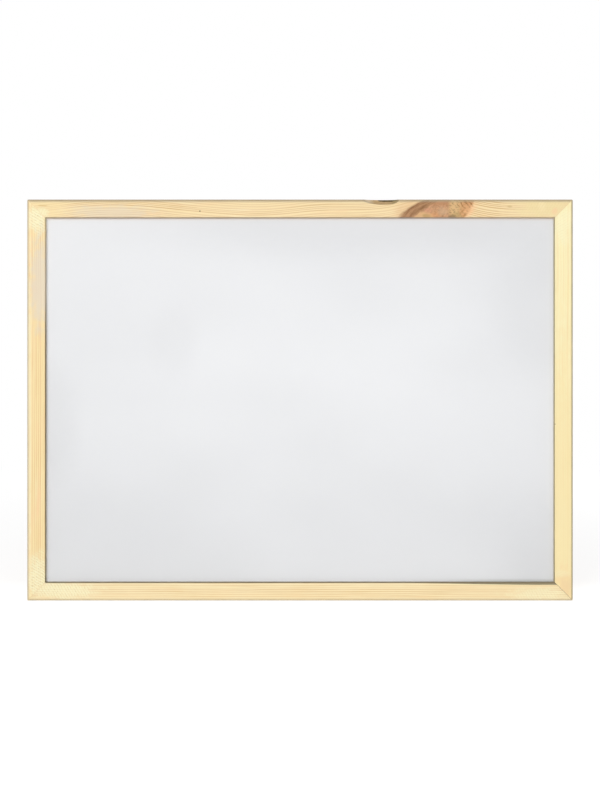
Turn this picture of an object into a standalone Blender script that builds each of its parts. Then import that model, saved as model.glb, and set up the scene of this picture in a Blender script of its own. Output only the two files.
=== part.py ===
"""A pine-framed whiteboard for a wall.

Four mitred pine rails carry a lacquered steel writing sheet on a hardboard back. The panel lies in a
rebate behind the rails' front lip, and steel framing points driven into the rebate's wall hold it
there. V nails driven from behind tie each mitre. Two sawtooth hangers on the back of the top rail
take the wall's screws.

Metres, +Z up. The front faces -Y, and the origin is the middle of the frame's bottom edge.
"""

import math

import bmesh
import bpy
from mathutils import Vector

# Overall size
BOARD_WIDTH = 0.600
BOARD_HEIGHT = 0.441

# Frame stock: the face seen from the front, the depth, and the rebate milled from behind
RAIL_FACE = 0.020
RAIL_DEPTH = 0.016
LIP_THICKNESS = 0.005
REBATE_WIDTH = 0.006
OUTER_ARRIS = 0.0016
INNER_ARRIS = 0.0009
BACK_ARRIS = 0.0008
CORNER_RADIUS = 0.0016
MITRE_GAP = 0.0003

# Fits: bare contact, and the panel's room in the rebate
SEAT_GAP = 0.0003
PANEL_ROOM = 0.001

# Panel
SHEET_THICKNESS = 0.0005
HARDBOARD_THICKNESS = 0.003
SHEET_CORNER = 0.002

# Framing points: pointed steel strips, the tail bent clear of the hardboard
POINT_SPACING = 0.150
POINT_METAL = 0.0005
POINT_WIDTH = 0.0056
POINT_BITE = 0.005
POINT_HEAD = 0.0038
POINT_TIP_WIDTH = 0.0006
POINT_FLAT = 0.0055
POINT_TAIL = 0.0045
POINT_TAIL_LIFT = 0.0011
POINT_TAIL_CORNER = 0.0012

# V nails: folded steel, seen from behind as a V whose apex lies on the mitre
V_NAIL_METAL = 0.0005
V_NAIL_LEG = 0.0048
V_NAIL_SPREAD = math.radians(34)
V_NAIL_HEIGHT = 0.010
V_NAIL_SINK = 0.0004
V_NAIL_COVER = 0.0020
V_NAIL_SPACING = 0.0050

# Sawtooth hangers: pressed strip, its middle raised so that a screw's head passes behind
HANGER_INSET = 0.120
HANGER_LENGTH = 0.044
HANGER_HEIGHT = 0.009
HANGER_METAL = 0.0008
HANGER_RISE = 0.0022
HANGER_TAB = 0.008
HANGER_RAMP = 0.0025
HANGER_END_RADIUS = 0.0030
TOOTH_PITCH = 0.0032
TOOTH_DEPTH = 0.0018
TOOTH_LAND = 0.0004

# Hanger nails: small round heads
NAIL_RADIUS = 0.0008
NAIL_LENGTH = 0.009
NAIL_POINT = 0.0018
NAIL_TIP_RADIUS = 0.0001
NAIL_HEAD_RADIUS = 0.0020
NAIL_HEAD_HEIGHT = 0.0009
NAIL_DOME_SWEEP = 75
NAIL_FROM_END = 0.0038

# Wane: a scoop of missing wood on the top rail's front arris, a little deeper towards its right end
WANE_FROM_RIGHT = 0.211
WANE_LENGTH = 0.039
WANE_DROP = 0.0058
WANE_DEPTH = 0.0042
WANE_LEAN = 0.15

# Facets of the rounded forms, and the angle past which an edge looks sharp
ARC_STEPS = 6
ROUND_STEPS = 24
WANE_RINGS = 16
CREASE = math.radians(30)

# A cutter runs this far past the face that it opens
CUTTER_MARGIN = 0.002

# Depths are measured back from the frame's front face
SHEET_FRONT = LIP_THICKNESS + SEAT_GAP
HARDBOARD_FRONT = SHEET_FRONT + SHEET_THICKNESS + SEAT_GAP
HARDBOARD_BACK = HARDBOARD_FRONT + HARDBOARD_THICKNESS
POINT_FRONT = HARDBOARD_BACK + SEAT_GAP
HANGER_FRONT = RAIL_DEPTH + SEAT_GAP
NAIL_SEAT = HANGER_FRONT + HANGER_METAL + SEAT_GAP

# Insets are measured in from the frame's outer edge
REBATE_INSET = RAIL_FACE - REBATE_WIDTH
BACK_FACE_MIDDLE = REBATE_INSET / 2

# Each side's name, its empty's place as shares of the board, its turn about Y and its length
SIDES = {
    "top_rail": ((0, 1), 0, BOARD_WIDTH),
    "right_stile": ((0.5, 0.5), 90, BOARD_HEIGHT),
    "bottom_rail": ((0, 0), 180, BOARD_WIDTH),
    "left_stile": ((-0.5, 0.5), 270, BOARD_HEIGHT),
}


def y_at(depth):
    """The y of a depth behind the frame's front face."""
    return depth - RAIL_DEPTH / 2


def finish(name, colour, roughness, metallic=0.0):
    material = bpy.data.materials.new(name)
    material.use_nodes = True
    shader = material.node_tree.nodes["Principled BSDF"]
    shader.inputs["Base Color"].default_value = (*colour, 1.0)
    shader.inputs["Roughness"].default_value = roughness
    shader.inputs["Metallic"].default_value = metallic
    material.diffuse_color = (*colour, 1.0)
    return material


def crease_nodes():
    """A node group that marks each edge past the CREASE angle sharp, the edges that cuts leave among them."""
    group = bpy.data.node_groups.new("creases", "GeometryNodeTree")
    for way in ("INPUT", "OUTPUT"):
        group.interface.new_socket("Geometry", in_out=way, socket_type="NodeSocketGeometry")
    start, end = group.nodes.new("NodeGroupInput"), group.nodes.new("NodeGroupOutput")
    angle = group.nodes.new("GeometryNodeInputMeshEdgeAngle")
    steep = group.nodes.new("FunctionNodeCompare")
    steep.operation = "GREATER_THAN"
    steep.inputs["B"].default_value = CREASE
    sharpen = group.nodes.new("GeometryNodeSetShadeSmooth")
    sharpen.domain = "EDGE"
    sharpen.inputs["Shade Smooth"].default_value = False
    group.links.new(angle.outputs["Unsigned Angle"], steep.inputs["A"])
    group.links.new(steep.outputs["Result"], sharpen.inputs["Selection"])
    group.links.new(start.outputs[0], sharpen.inputs["Geometry"])
    group.links.new(sharpen.outputs["Geometry"], end.inputs[0])
    return group


def shade(made, creases):
    """Shades an object smooth between its creases, with its broad faces flat. It comes after the cuts."""
    made.modifiers.new("creases", "NODES").node_group = creases
    made.modifiers.new("flat_faces", "WEIGHTED_NORMAL").keep_sharp = True


def add_object(name, shape, material=None, parent=None, location=(0, 0, 0), turn=0.0):
    """Turns a bmesh into an object, placed by its location and a turn in degrees about Y."""
    bmesh.ops.recalc_face_normals(shape, faces=shape.faces)
    mesh = bpy.data.meshes.new(name)
    shape.to_mesh(mesh)
    shape.free()
    mesh.shade_smooth()
    made = bpy.data.objects.new(name, mesh)
    bpy.context.scene.collection.objects.link(made)
    if material:
        mesh.materials.append(material)
    made.parent = parent
    made.location = location
    made.rotation_euler = (0, math.radians(turn), 0)
    return made


def add_empty(name, location, turn):
    empty = bpy.data.objects.new(name, None)
    bpy.context.scene.collection.objects.link(empty)
    empty.location = location
    empty.rotation_euler = (0, math.radians(turn), 0)
    return empty


def add_cutter(name, shape, wholes, parent, location=(0, 0, 0), turn=0.0):
    """A hidden solid that is cut from each object in wholes."""
    cutter = add_object(name, shape, None, parent, location, turn)
    cutter.hide_render = True
    cutter.display_type = "WIRE"
    for whole in wholes:
        cuts = whole.modifiers.get("cuts")
        if cuts is None:
            cuts = whole.modifiers.new("cuts", "BOOLEAN")
            cuts.operation = "DIFFERENCE"
            cuts.solver = "EXACT"
            cuts.operand_type = "COLLECTION"
            cuts.collection = bpy.data.collections.new(whole.name + "_cutters")
        cuts.collection.objects.link(cutter)


def arc(centre_x, centre_y, radius, start, end):
    """Points on an arc, its start and end in degrees."""
    angles = [math.radians(start + (end - start) * i / ARC_STEPS) for i in range(ARC_STEPS + 1)]
    return [(centre_x + radius * math.cos(a), centre_y + radius * math.sin(a)) for a in angles]


def prism(outline, front, back):
    """An outline of (x, z) points, extruded along y."""
    shape = bmesh.new()
    face = shape.faces.new([shape.verts.new((x, front, z)) for x, z in outline])
    extruded = bmesh.ops.extrude_face_region(shape, geom=[face])["geom"]
    moved = [item for item in extruded if isinstance(item, bmesh.types.BMVert)]
    bmesh.ops.translate(shape, verts=moved, vec=(0, back - front, 0))
    return shape


def loft(rings):
    """A closed solid through rings of as many points each, capped at both ends."""
    shape = bmesh.new()
    loops = [[shape.verts.new(point) for point in ring] for ring in rings]
    for near, far in zip(loops, loops[1:]):
        for i in range(len(near)):
            j = (i + 1) % len(near)
            shape.faces.new((near[i], near[j], far[j], far[i]))
    shape.faces.new(loops[0])
    shape.faces.new(loops[-1])
    return shape


def turned(profile):
    """A solid of revolution about Y through (radius, y) points, with flat ends."""
    angles = [math.tau * i / ROUND_STEPS for i in range(ROUND_STEPS)]
    return loft([[(r * math.cos(a), y, r * math.sin(a)) for a in angles] for r, y in profile])


def bent_strip(stations, metal):
    """Strip metal along X, through (x, lift, half width) stations; it keeps its thickness at each bend."""
    line = [Vector((x, lift)) for x, lift, _ in stations]
    runs = [(far - near).normalized() for near, far in zip(line, line[1:])]
    rings = []
    for (x, lift, half), before, after in zip(stations, [runs[0], *runs], [*runs, runs[-1]]):
        along = (before + after).normalized()
        out = Vector((-along.y, along.x)) * (metal / along.dot(before))
        near, far = (x, lift), (x + out.x, lift + out.y)
        rings.append([(*near, -half), (*near, half), (*far, half), (*far, -half)])
    return loft(rings)


def round_rectangle(width, height, radius):
    """Corner points of a rectangle about the origin, its corners rounded."""
    x, z = width / 2 - radius, height / 2 - radius
    corners = ((x, z, 0), (-x, z, 90), (-x, -z, 180), (x, -z, 270))
    return [point for cx, cz, start in corners for point in arc(cx, cz, radius, start, start + 90)]


def rail_section():
    """The stock's section as (inset, depth) points: eased edges, a front lip and the rebate behind it."""
    return [
        *arc(OUTER_ARRIS, OUTER_ARRIS, OUTER_ARRIS, 180, 270),
        *arc(RAIL_FACE - INNER_ARRIS, INNER_ARRIS, INNER_ARRIS, 270, 360),
        (RAIL_FACE, LIP_THICKNESS),
        (REBATE_INSET, LIP_THICKNESS),
        *arc(REBATE_INSET - BACK_ARRIS, RAIL_DEPTH - BACK_ARRIS, BACK_ARRIS, 0, 90),
        *arc(BACK_ARRIS, RAIL_DEPTH - BACK_ARRIS, BACK_ARRIS, 90, 180),
    ]


def mitred_rail(length):
    """The section run along X, its ends mitred. The outer edge lies at z = 0 and the rail hangs below it."""
    setback = MITRE_GAP / math.sqrt(2)
    rings = []
    for end in (-1, 1):
        rings.append(
            [
                (end * (length / 2 - inset - setback), y_at(depth), -inset)
                for inset, depth in rail_section()
            ]
        )
    return loft(rings)


def corner_waste():
    """What rounding takes off one outer corner of the frame. The corner is at the origin."""
    r, past = CORNER_RADIUS, CUTTER_MARGIN
    outline = [(past, -r), (past, past), (-r, past), *arc(-r, -r, r, 90, 0)]
    return prism(outline, y_at(-past), y_at(RAIL_DEPTH + past))


def v_outline(grow=0.0):
    """The V nail seen from behind, its apex at the origin and its legs towards -Z."""
    half = V_NAIL_METAL / 2 + grow
    leg = V_NAIL_LEG + grow
    across, down = math.sin(V_NAIL_SPREAD), math.cos(V_NAIL_SPREAD)
    apex = half / across
    outer = (across * leg + down * half, across * half - down * leg)
    inner = (across * leg - down * half, -across * half - down * leg)
    return [outer, (0, apex), (-outer[0], outer[1]), (-inner[0], inner[1]), (0, -apex), inner]


def v_nail_steps():
    """How far along the mitre from the outer corner each V nail's apex lies, with wood all round it."""
    outline = v_outline()
    towards_corner = max(z for _, z in outline)
    towards_rebate = max(x - z for x, z in outline)
    first = V_NAIL_COVER * math.sqrt(2) + towards_corner
    last = (REBATE_INSET - V_NAIL_COVER) * math.sqrt(2) - towards_rebate
    gaps = int((last - first) / V_NAIL_SPACING)
    if gaps < 1:
        return [(first + last) / 2]
    return [first + (last - first) * i / gaps for i in range(gaps + 1)]


def framing_point():
    """One framing point along X: the tip is driven to +X, and x = 0 is the rebate's wall."""
    half, tip = POINT_WIDTH / 2, POINT_TIP_WIDTH / 2
    end = -(POINT_FLAT + POINT_TAIL)
    slope = POINT_TAIL_LIFT / POINT_TAIL
    tail = [
        (x, (-x - POINT_FLAT) * slope, width)
        for x, width in arc(end + POINT_TAIL_CORNER, half - POINT_TAIL_CORNER, POINT_TAIL_CORNER, 180, 90)
    ]
    return bent_strip(
        [*tail, (-POINT_FLAT, 0, half), (POINT_BITE - POINT_HEAD, 0, half), (POINT_BITE, 0, tip)],
        POINT_METAL,
    )


def point_slot():
    """The slot that a framing point cuts in the rebate's wall, open towards -X."""
    half, tip = POINT_WIDTH / 2 + SEAT_GAP, POINT_TIP_WIDTH / 2 + SEAT_GAP
    shoulder = POINT_BITE - POINT_HEAD + SEAT_GAP
    upper = [(-CUTTER_MARGIN, half), (shoulder, half), (POINT_BITE + SEAT_GAP, tip)]
    outline = [*upper, *[(x, -z) for x, z in reversed(upper)]]
    return prism(outline, -SEAT_GAP, POINT_METAL + SEAT_GAP)


def sawtooth_strip():
    """The hanger before its teeth and holes: two tabs on the wood and a raised middle."""
    end, half = HANGER_LENGTH / 2, HANGER_HEIGHT / 2
    rounding = arc(HANGER_END_RADIUS - end, half - HANGER_END_RADIUS, HANGER_END_RADIUS, 180, 90)
    left = [(x, 0, width) for x, width in rounding]
    left += [(HANGER_TAB - end, 0, half), (HANGER_TAB + HANGER_RAMP - end, HANGER_RISE, half)]
    return bent_strip([*left, *[(-x, lift, width) for x, lift, width in reversed(left)]], HANGER_METAL)


def tooth_comb():
    """The wood-saw outline cut from the lower edge of the hanger's raised middle."""
    span = HANGER_LENGTH - 2 * (HANGER_TAB + HANGER_RAMP) - TOOTH_PITCH
    count = int(span / TOOTH_PITCH)
    start = -count * TOOTH_PITCH / 2
    edge, below = -HANGER_HEIGHT / 2, -HANGER_HEIGHT / 2 - CUTTER_MARGIN
    outline = [(start, below)]
    for i in range(count):
        left, right = start + i * TOOTH_PITCH, start + (i + 1) * TOOTH_PITCH
        outline += [
            (left + TOOTH_LAND / 2, edge - TOOTH_LAND),
            ((left + right) / 2, edge + TOOTH_DEPTH),
            (right - TOOTH_LAND / 2, edge - TOOTH_LAND),
        ]
    outline.append((-start, below))
    return prism(outline, 0, HANGER_RISE + HANGER_METAL + CUTTER_MARGIN)


def nail_profile():
    """(radius, y) points of a hanger nail from its tip to its domed head; y = 0 is under the head."""
    dome = arc(0, 0, 1, 0, NAIL_DOME_SWEEP)
    return [
        (NAIL_TIP_RADIUS, -NAIL_LENGTH),
        (NAIL_RADIUS, NAIL_POINT - NAIL_LENGTH),
        (NAIL_RADIUS, 0),
        *[(NAIL_HEAD_RADIUS * x, NAIL_HEAD_HEIGHT * y) for x, y in dome],
    ]


def wane_scoop():
    """An ellipsoid centred on the arris that it eats into, its belly leant towards +X."""
    shape = bmesh.new()
    bmesh.ops.create_uvsphere(shape, u_segments=2 * WANE_RINGS, v_segments=WANE_RINGS, radius=1)
    for vert in shape.verts:
        vert.co.x += WANE_LEAN * (1 - vert.co.x**2)
    bmesh.ops.scale(shape, vec=(WANE_LENGTH / 2, WANE_DEPTH, WANE_DROP), verts=shape.verts)
    return shape


def build_frame(pine):
    """The four rails, each hung on an empty at the middle of its outer edge."""
    sides, rails = {}, {}
    for name, ((share_x, share_z), turn, length) in SIDES.items():
        place = (share_x * BOARD_WIDTH, 0, share_z * BOARD_HEIGHT)
        sides[name] = add_empty(name + "_side", place, turn)
        rails[name] = add_object(name, mitred_rail(length), pine, sides[name])
    return sides, rails


def join_corners(sides, rails, steel):
    """Rounds each outer corner and drives its V nails, at the +X end of each side."""
    names = list(SIDES)
    for i, name in enumerate(names):
        follower = names[(i + 1) % len(names)]
        pair = (rails[name], rails[follower])
        corner = SIDES[name][2] / 2
        add_cutter(name + "_corner_waste", corner_waste(), pair, sides[name], (corner, 0, 0))
        for n, step in enumerate(v_nail_steps(), 1):
            inset = step / math.sqrt(2)
            place = (corner - inset, y_at(RAIL_DEPTH - V_NAIL_SINK), -inset)
            label = f"v_nail_{name}_{n}"
            add_object(label, prism(v_outline(), -V_NAIL_HEIGHT, 0), steel, sides[name], place, 45)
            pocket = prism(v_outline(SEAT_GAP), -V_NAIL_HEIGHT - SEAT_GAP, V_NAIL_SINK + CUTTER_MARGIN)
            add_cutter(label + "_pocket", pocket, pair, sides[name], place, 45)


def build_panel(lacquer, hardboard):
    """The writing sheet and the hardboard behind it, with room all round in the rebate."""
    margin = REBATE_INSET + PANEL_ROOM
    width, height = BOARD_WIDTH - 2 * margin, BOARD_HEIGHT - 2 * margin
    outline = round_rectangle(width, height, SHEET_CORNER)
    middle = (0, 0, BOARD_HEIGHT / 2)
    sheet = prism(outline, y_at(SHEET_FRONT), y_at(SHEET_FRONT + SHEET_THICKNESS))
    add_object("writing_sheet", sheet, lacquer, None, middle)
    board = prism(outline, y_at(HARDBOARD_FRONT), y_at(HARDBOARD_BACK))
    add_object("hardboard_back", board, hardboard, None, middle)


def drive_points(sides, rails, steel):
    """Framing points at even steps along each side's rebate."""
    for name, (_, _, length) in SIDES.items():
        run = length - 2 * REBATE_INSET
        count = math.ceil(run / POINT_SPACING)
        for n in range(count):
            place = (run * ((n + 0.5) / count - 0.5), y_at(POINT_FRONT), -REBATE_INSET)
            label = f"framing_point_{name}_{n + 1}"
            add_object(label, framing_point(), steel, sides[name], place, -90)
            add_cutter(label + "_slot", point_slot(), [rails[name]], sides[name], place, -90)


def fit_hangers(side, rail, steel):
    """Two sawtooth hangers on the top rail's back, each nailed through both tabs."""
    for label, end in (("left", -1), ("right", 1)):
        x = end * (BOARD_WIDTH / 2 - HANGER_INSET)
        place = (x, y_at(HANGER_FRONT), -BACK_FACE_MIDDLE)
        hanger = add_object(f"sawtooth_hanger_{label}", sawtooth_strip(), steel, side, place)
        add_cutter(f"hanger_teeth_{label}", tooth_comb(), [hanger], side, place)
        for n, way in enumerate((-1, 1)):
            seat = (x + way * (HANGER_LENGTH / 2 - NAIL_FROM_END), y_at(NAIL_SEAT), -BACK_FACE_MIDDLE)
            name = f"hanger_nail_{label}_{n + 1}"
            add_object(name, turned(nail_profile()), steel, side, seat)
            radius = NAIL_RADIUS + SEAT_GAP
            bore = turned([(radius, -NAIL_LENGTH - SEAT_GAP), (radius, CUTTER_MARGIN)])
            add_cutter(name + "_bore", bore, (rail, hanger), side, seat)


def build():
    for old in list(bpy.data.objects):
        bpy.data.objects.remove(old)

    pine = finish("pine", (0.89, 0.70, 0.42), 0.55)
    lacquer = finish("white_lacquer", (0.82, 0.83, 0.85), 0.22)
    hardboard = finish("hardboard", (0.27, 0.16, 0.09), 0.8)
    zinc = finish("zinc_plate", (0.62, 0.63, 0.64), 0.35, 1.0)

    sides, rails = build_frame(pine)
    join_corners(sides, rails, zinc)
    build_panel(lacquer, hardboard)
    drive_points(sides, rails, zinc)
    fit_hangers(sides["top_rail"], rails["top_rail"], zinc)

    arris = (BOARD_WIDTH / 2 - WANE_FROM_RIGHT, y_at(0), 0)
    add_cutter("wane_scoop", wane_scoop(), [rails["top_rail"]], sides["top_rail"], arris)

    creases = crease_nodes()
    for made in bpy.data.objects:
        if made.type == "MESH" and not made.hide_render:
            shade(made, creases)


build()
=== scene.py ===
import math

import bmesh
import bpy
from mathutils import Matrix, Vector, noise


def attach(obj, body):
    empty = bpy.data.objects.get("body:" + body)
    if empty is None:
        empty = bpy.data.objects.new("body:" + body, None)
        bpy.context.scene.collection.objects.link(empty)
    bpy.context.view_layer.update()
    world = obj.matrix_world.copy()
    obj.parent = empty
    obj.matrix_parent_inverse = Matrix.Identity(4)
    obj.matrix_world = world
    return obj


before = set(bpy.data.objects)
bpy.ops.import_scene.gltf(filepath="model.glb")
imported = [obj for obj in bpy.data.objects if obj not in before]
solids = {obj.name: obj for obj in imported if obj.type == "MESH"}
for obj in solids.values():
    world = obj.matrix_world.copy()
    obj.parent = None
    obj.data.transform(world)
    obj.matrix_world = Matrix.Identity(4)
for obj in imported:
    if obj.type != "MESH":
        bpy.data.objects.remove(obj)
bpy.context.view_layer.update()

# The rails are four lengths of clear pine, planed and rebated, mitred, glued and left without a stain. Each
# comes from its own plank, so the growth rings, the tone and the flaws differ. Once glued, the corners were
# sanded flush by hand. Sizes are in millimetres.
BOARD_WIDTH = 600.0
BOARD_HEIGHT = 441.0
RAIL_FACE = 20.0
RAIL_DEPTH = 16.0
LIP_THICKNESS = 5.0


class Layer:
    """A value in a finish or in a tree of geometry nodes. Sums and products add the Math nodes they need."""

    def __init__(self, tree, socket=None):
        self.tree = tree
        self.socket = socket

    def node(self, kind, settings=None, inputs=None, output=0):
        """Adds a node: its settings first, then its sockets' values or links. Gives back one output."""
        plain = not kind.startswith(("Geometry", "Function", "Node"))
        made = self.tree.nodes.new("ShaderNode" + kind if plain else kind)
        for setting, value in (settings or {}).items():
            setattr(made, setting, value)
        for socket, value in (inputs or {}).items():
            if isinstance(value, Layer):
                self.tree.links.new(value.socket, made.inputs[socket])
            else:
                made.inputs[socket].default_value = value
        return Layer(self.tree, made.outputs[output] if made.outputs else None)

    def maths(self, operation, *others):
        """A Math node that this value goes into first."""
        return self.node("Math", {"operation": operation}, dict(enumerate((self, *others))))

    def __add__(self, other):
        return self.maths("ADD", other)

    def __sub__(self, other):
        return self.maths("SUBTRACT", other)

    def __rsub__(self, other):
        return self.node("Math", {"operation": "SUBTRACT"}, {0: other, 1: self})

    def __mul__(self, other):
        return self.maths("MULTIPLY", other)

    def __truediv__(self, other):
        return self.maths("DIVIDE", other)

    __radd__ = __add__
    __rmul__ = __mul__


def paint(red, green, blue):
    """A colour as the eye reads it, 0 to 255, in the linear light that a finish is mixed in."""
    linear = [(c / 255 + 0.055) / 1.055 for c in (red, green, blue)]
    return (*(max(c, 0.0) ** 2.4 for c in linear), 1.0)


def blend(first, second, share):
    """One colour moved towards another by a share of the way."""
    settings = {"data_type": "RGBA", "blend_type": "MIX"}
    return share.node("Mix", settings, {0: share, 6: first, 7: second}, 2)


def ease(value, low, high):
    """0 up to low, 1 from high on, and a smooth rise between them."""
    bounds = {"Value": value, "From Min": low, "From Max": high}
    return value.node("MapRange", {"interpolation_type": "SMOOTHSTEP"}, bounds)


def cloud(spot, size, detail=2.0, shift=0.0):
    """Soft noise, about -1 to 1, its blobs as large as size gives in millimetres."""
    along, inset, depth = spot
    stretched = {"X": along / size[0] + shift, "Y": inset / size[1], "Z": depth / size[2]}
    place = along.node("CombineXYZ", None, stretched)
    puffs = along.node("TexNoise", None, {"Vector": place, "Scale": 1.0, "Detail": detail})
    return (puffs - 0.5) * 3.0


def open_finish(name):
    """An empty material, and where each point of the piece lies in it: x, y and z in millimetres."""
    material = bpy.data.materials.new(name)
    material.use_nodes = True
    material.node_tree.nodes.clear()
    start = Layer(material.node_tree)
    place = start.node("TexCoord", output="Object")
    scaled = {0: place, "Scale": 1000.0}
    place = start.node("VectorMath", {"operation": "SCALE"}, scaled)
    return material, [start.node("SeparateXYZ", None, {0: place}, axis) for axis in range(3)]


def close_finish(colour, roughness, relief, **settled):
    """Lays colour, roughness and relief, in millimetres, on the surface."""
    bump = relief.node("Bump", None, {"Strength": 1.0, "Distance": 0.001, "Height": relief}, "Normal")
    inputs = {"Base Color": colour, "Roughness": roughness, "Normal": bump, **settled}
    surface = relief.node("BsdfPrincipled", None, inputs)
    relief.node("OutputMaterial", None, {"Surface": surface})


def dress(piece, finish):
    """Puts the finish on a piece, in place of any that it came with."""
    piece.data.materials.clear()
    piece.data.materials.append(finish)


def patch(spot, middle, reach, ragged=0.5):
    """A soft, ragged patch on a face: 1 inside and 0 outside."""
    along, inset, _ = spot
    far = (along - middle[0]) / reach[0]
    wide = (inset - middle[1]) / reach[1]
    away = (far * far + wide * wide).maths("SQRT") + cloud(spot, (10, 5, 10), 3.0) * ragged
    return 1.0 - ease(away, 0.4, 1.4)


def stained(spot, colour, stains, ragged):
    """A colour with soft stains on it, each with its middle, half size, tone and strength."""
    for middle, size, tone, share in stains:
        colour = blend(colour, paint(*tone), patch(spot, middle, size, ragged) * share)
    return colour


# The sanding scratches lie 30 degrees off square to the grain, and come round after 2 pi / SCRATCHES.
SANDING_SLANT = (0.86, 0.5)
SCRATCHES = 2.3


def hand_sanded(spot, wood, colour, relief, roughness):
    """Where sanding took the tone off or a pale sheen is painted, with the scratches that sanding left
    across the grain.
    """
    along, inset, depth = spot
    mostly, partly = SANDING_SLANT
    slant = along * mostly + inset * partly
    shaded, lit = paint(212, 184, 122), paint(255, 254, 230)
    scratch = cloud((slant, inset * mostly - along * partly, depth), (0.8, 5.0, 5.0), 2.0)
    tick = (slant * SCRATCHES + cloud(spot, (7, 3, 4), 2.0, 8.0) * 2.4).maths("SINE") + scratch * 0.5
    broken = ease(cloud(spot, (3.4, 1.7, 3.4), 2.0, 4.0), -0.6, 0.7)
    for middle, size, tone, share, ticks in wood["pale"]:
        bare = patch(spot, middle, size) * share
        colour = blend(colour, paint(*tone), bare)
        marks = bare * broken * ticks
        colour = blend(colour, shaded, marks * ease(tick, 0.1, 1.3))
        colour = blend(colour, lit, marks * ease(tick, -0.2, -1.2))
        relief = relief + tick * marks * 0.015
        roughness = roughness + bare * 0.06
    return colour, relief, roughness


# Wide rings and narrow ones take turns over RING_DRIFT, by up to RING_UNEVENNESS of a ring.
RING_DRIFT = 9.0
RING_UNEVENNESS = 1.6
SAW_MARKS = 1.7


def pine(spot, wood, bow=0.0, flaws=None, droop=0.0):
    """Pine on one rail. spot is along the rail, in from its outer edge, and back from its face. bow swings
    the rings, flaws paints what else the plank has, and droop spreads the wall's painted shade on the face."""
    along, inset, depth = spot

    # growth rings round a pith that lies outside the rail, each paling slowly and ending sharply
    sway = cloud(spot, (190, 60, 60), 1.0, wood["seed"]) * wood["sway"]
    ripple = cloud(spot, (34, 9, 9), 2.0, wood["seed"]) * 0.22
    across = inset - wood["pith"][0] - bow + sway + ripple
    back = depth - wood["pith"][1]
    reach = (across * across + back * back).maths("SQRT")
    years = {"W": reach / RING_DRIFT, "Scale": 1.0, "Detail": 1.0}
    spread = reach.node("TexNoise", {"noise_dimensions": "1D"}, years)
    count = reach / wood["ring"] + spread * RING_UNEVENNESS
    growth = count.maths("FRACT")
    year = count.node("TexWhiteNoise", {"noise_dimensions": "1D"}, {"W": count.maths("FLOOR")})
    late = ease(growth, 0.25, 0.86) * (1.0 - ease(growth, 0.9, 1.0))
    late = late * (0.4 + 0.6 * year)
    figure = late * (wood["figure"] + cloud(spot, (70, 14, 14), 1.0, 3.1) * 0.45)
    for middle, size, extra in wood["firm"]:
        figure = figure + late * patch(spot, middle, size) * extra
    streak = cloud((along, across, back), (60, 2.2, 2.2), 3.0, 2.6)

    # fibres along the grain, a few of them resin ducts, and the blush and the pallor of the plank
    fibre = cloud(spot, (11, 0.28, 0.28), 3.0)
    duct = ease(cloud(spot, (5.5, 0.34, 0.34), 1.0, 7.7), 1.12, 1.3) * ease(late, 0.05, 0.4)
    blush = ease(cloud(spot, (46, 9, 9), 2.0, 1.3 + wood["seed"]), -0.1, 1.1)
    dark, pale, resin = paint(*wood["late"]), paint(*wood["light"]), paint(176, 130, 84)
    colour = blend(paint(*wood["early"]), dark, figure)
    colour = blend(colour, paint(*wood["blush"]), blush * 0.7)
    colour = blend(colour, dark, ease(streak, 0.0, 1.2) * 0.55)
    colour = blend(colour, pale, ease(streak, -0.1, -1.2) * 0.65)
    colour = blend(colour, dark, ease(fibre, 0.1, 1.4) * 0.28)
    colour = blend(colour, pale, ease(fibre, -0.3, -1.5) * 0.25)
    colour = blend(colour, resin, duct * 0.5)
    relief = late * 0.03 + fibre * 0.008 - duct * 0.03
    roughness = 0.62 + fibre * 0.04 - late * 0.06
    colour, relief, roughness = hand_sanded(spot, wood, colour, relief, roughness)

    if flaws:
        colour, relief, roughness = flaws(spot, colour, relief, roughness)
    pin_knot = paint(120, 84, 50)
    for middle, size in wood["specks"]:
        far = (along - middle[0]) / size
        wide = (inset - middle[1]) / size
        speck = 1.0 - ease(far * far + wide * wide, 0.3, 1.3)
        colour = blend(colour, pin_knot, speck * 0.8)
        relief = relief - speck * 0.05

    # the routed lip's wall with painted shade, darkest on the left stile and the bottom rail, the outer
    # arris, and the sawn back
    wall = ease(inset + droop, RAIL_FACE - 0.5, RAIL_FACE)
    wall = wall * (1.0 - ease(depth, LIP_THICKNESS - 0.4, LIP_THICKNESS + 0.2))
    wall_shade = wood["wall_shade"] - ease(along, *wood["wall_shade_fades"]) * wood["wall_shade"] * 0.6
    colour = blend(colour, paint(*wood["wall"]), wall * (wall_shade + cloud(spot, (30, 2, 2)) * 0.08))
    # the outer arris carries painted shade, darkest on the top rail and the right stile
    arris = (1.0 - ease(inset, *wood["edge_shade_reach"])) * (1.0 - ease(depth, 0.6, 2.6))
    edge_shade = wood["edge_shade"] + cloud(spot, (18, 3, 3)) * 0.12
    colour = blend(colour, paint(*wood["edge"]), arris * edge_shade)
    behind = ease(depth, RAIL_DEPTH - 0.6, RAIL_DEPTH - 0.1)
    saw = (along / SAW_MARKS + cloud(spot, (60, 30, 30)) * 1.2).maths("SINE")
    sawn = paint(222, 190, 138)
    colour = blend(colour, sawn, behind * (0.3 + saw * 0.1))
    relief = relief + behind * saw * 0.03
    roughness = roughness + behind * 0.1 + wall * 0.1
    close_finish(colour, roughness, relief, **{"IOR": 1.45, "Specular IOR Level": 0.3})


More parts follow.
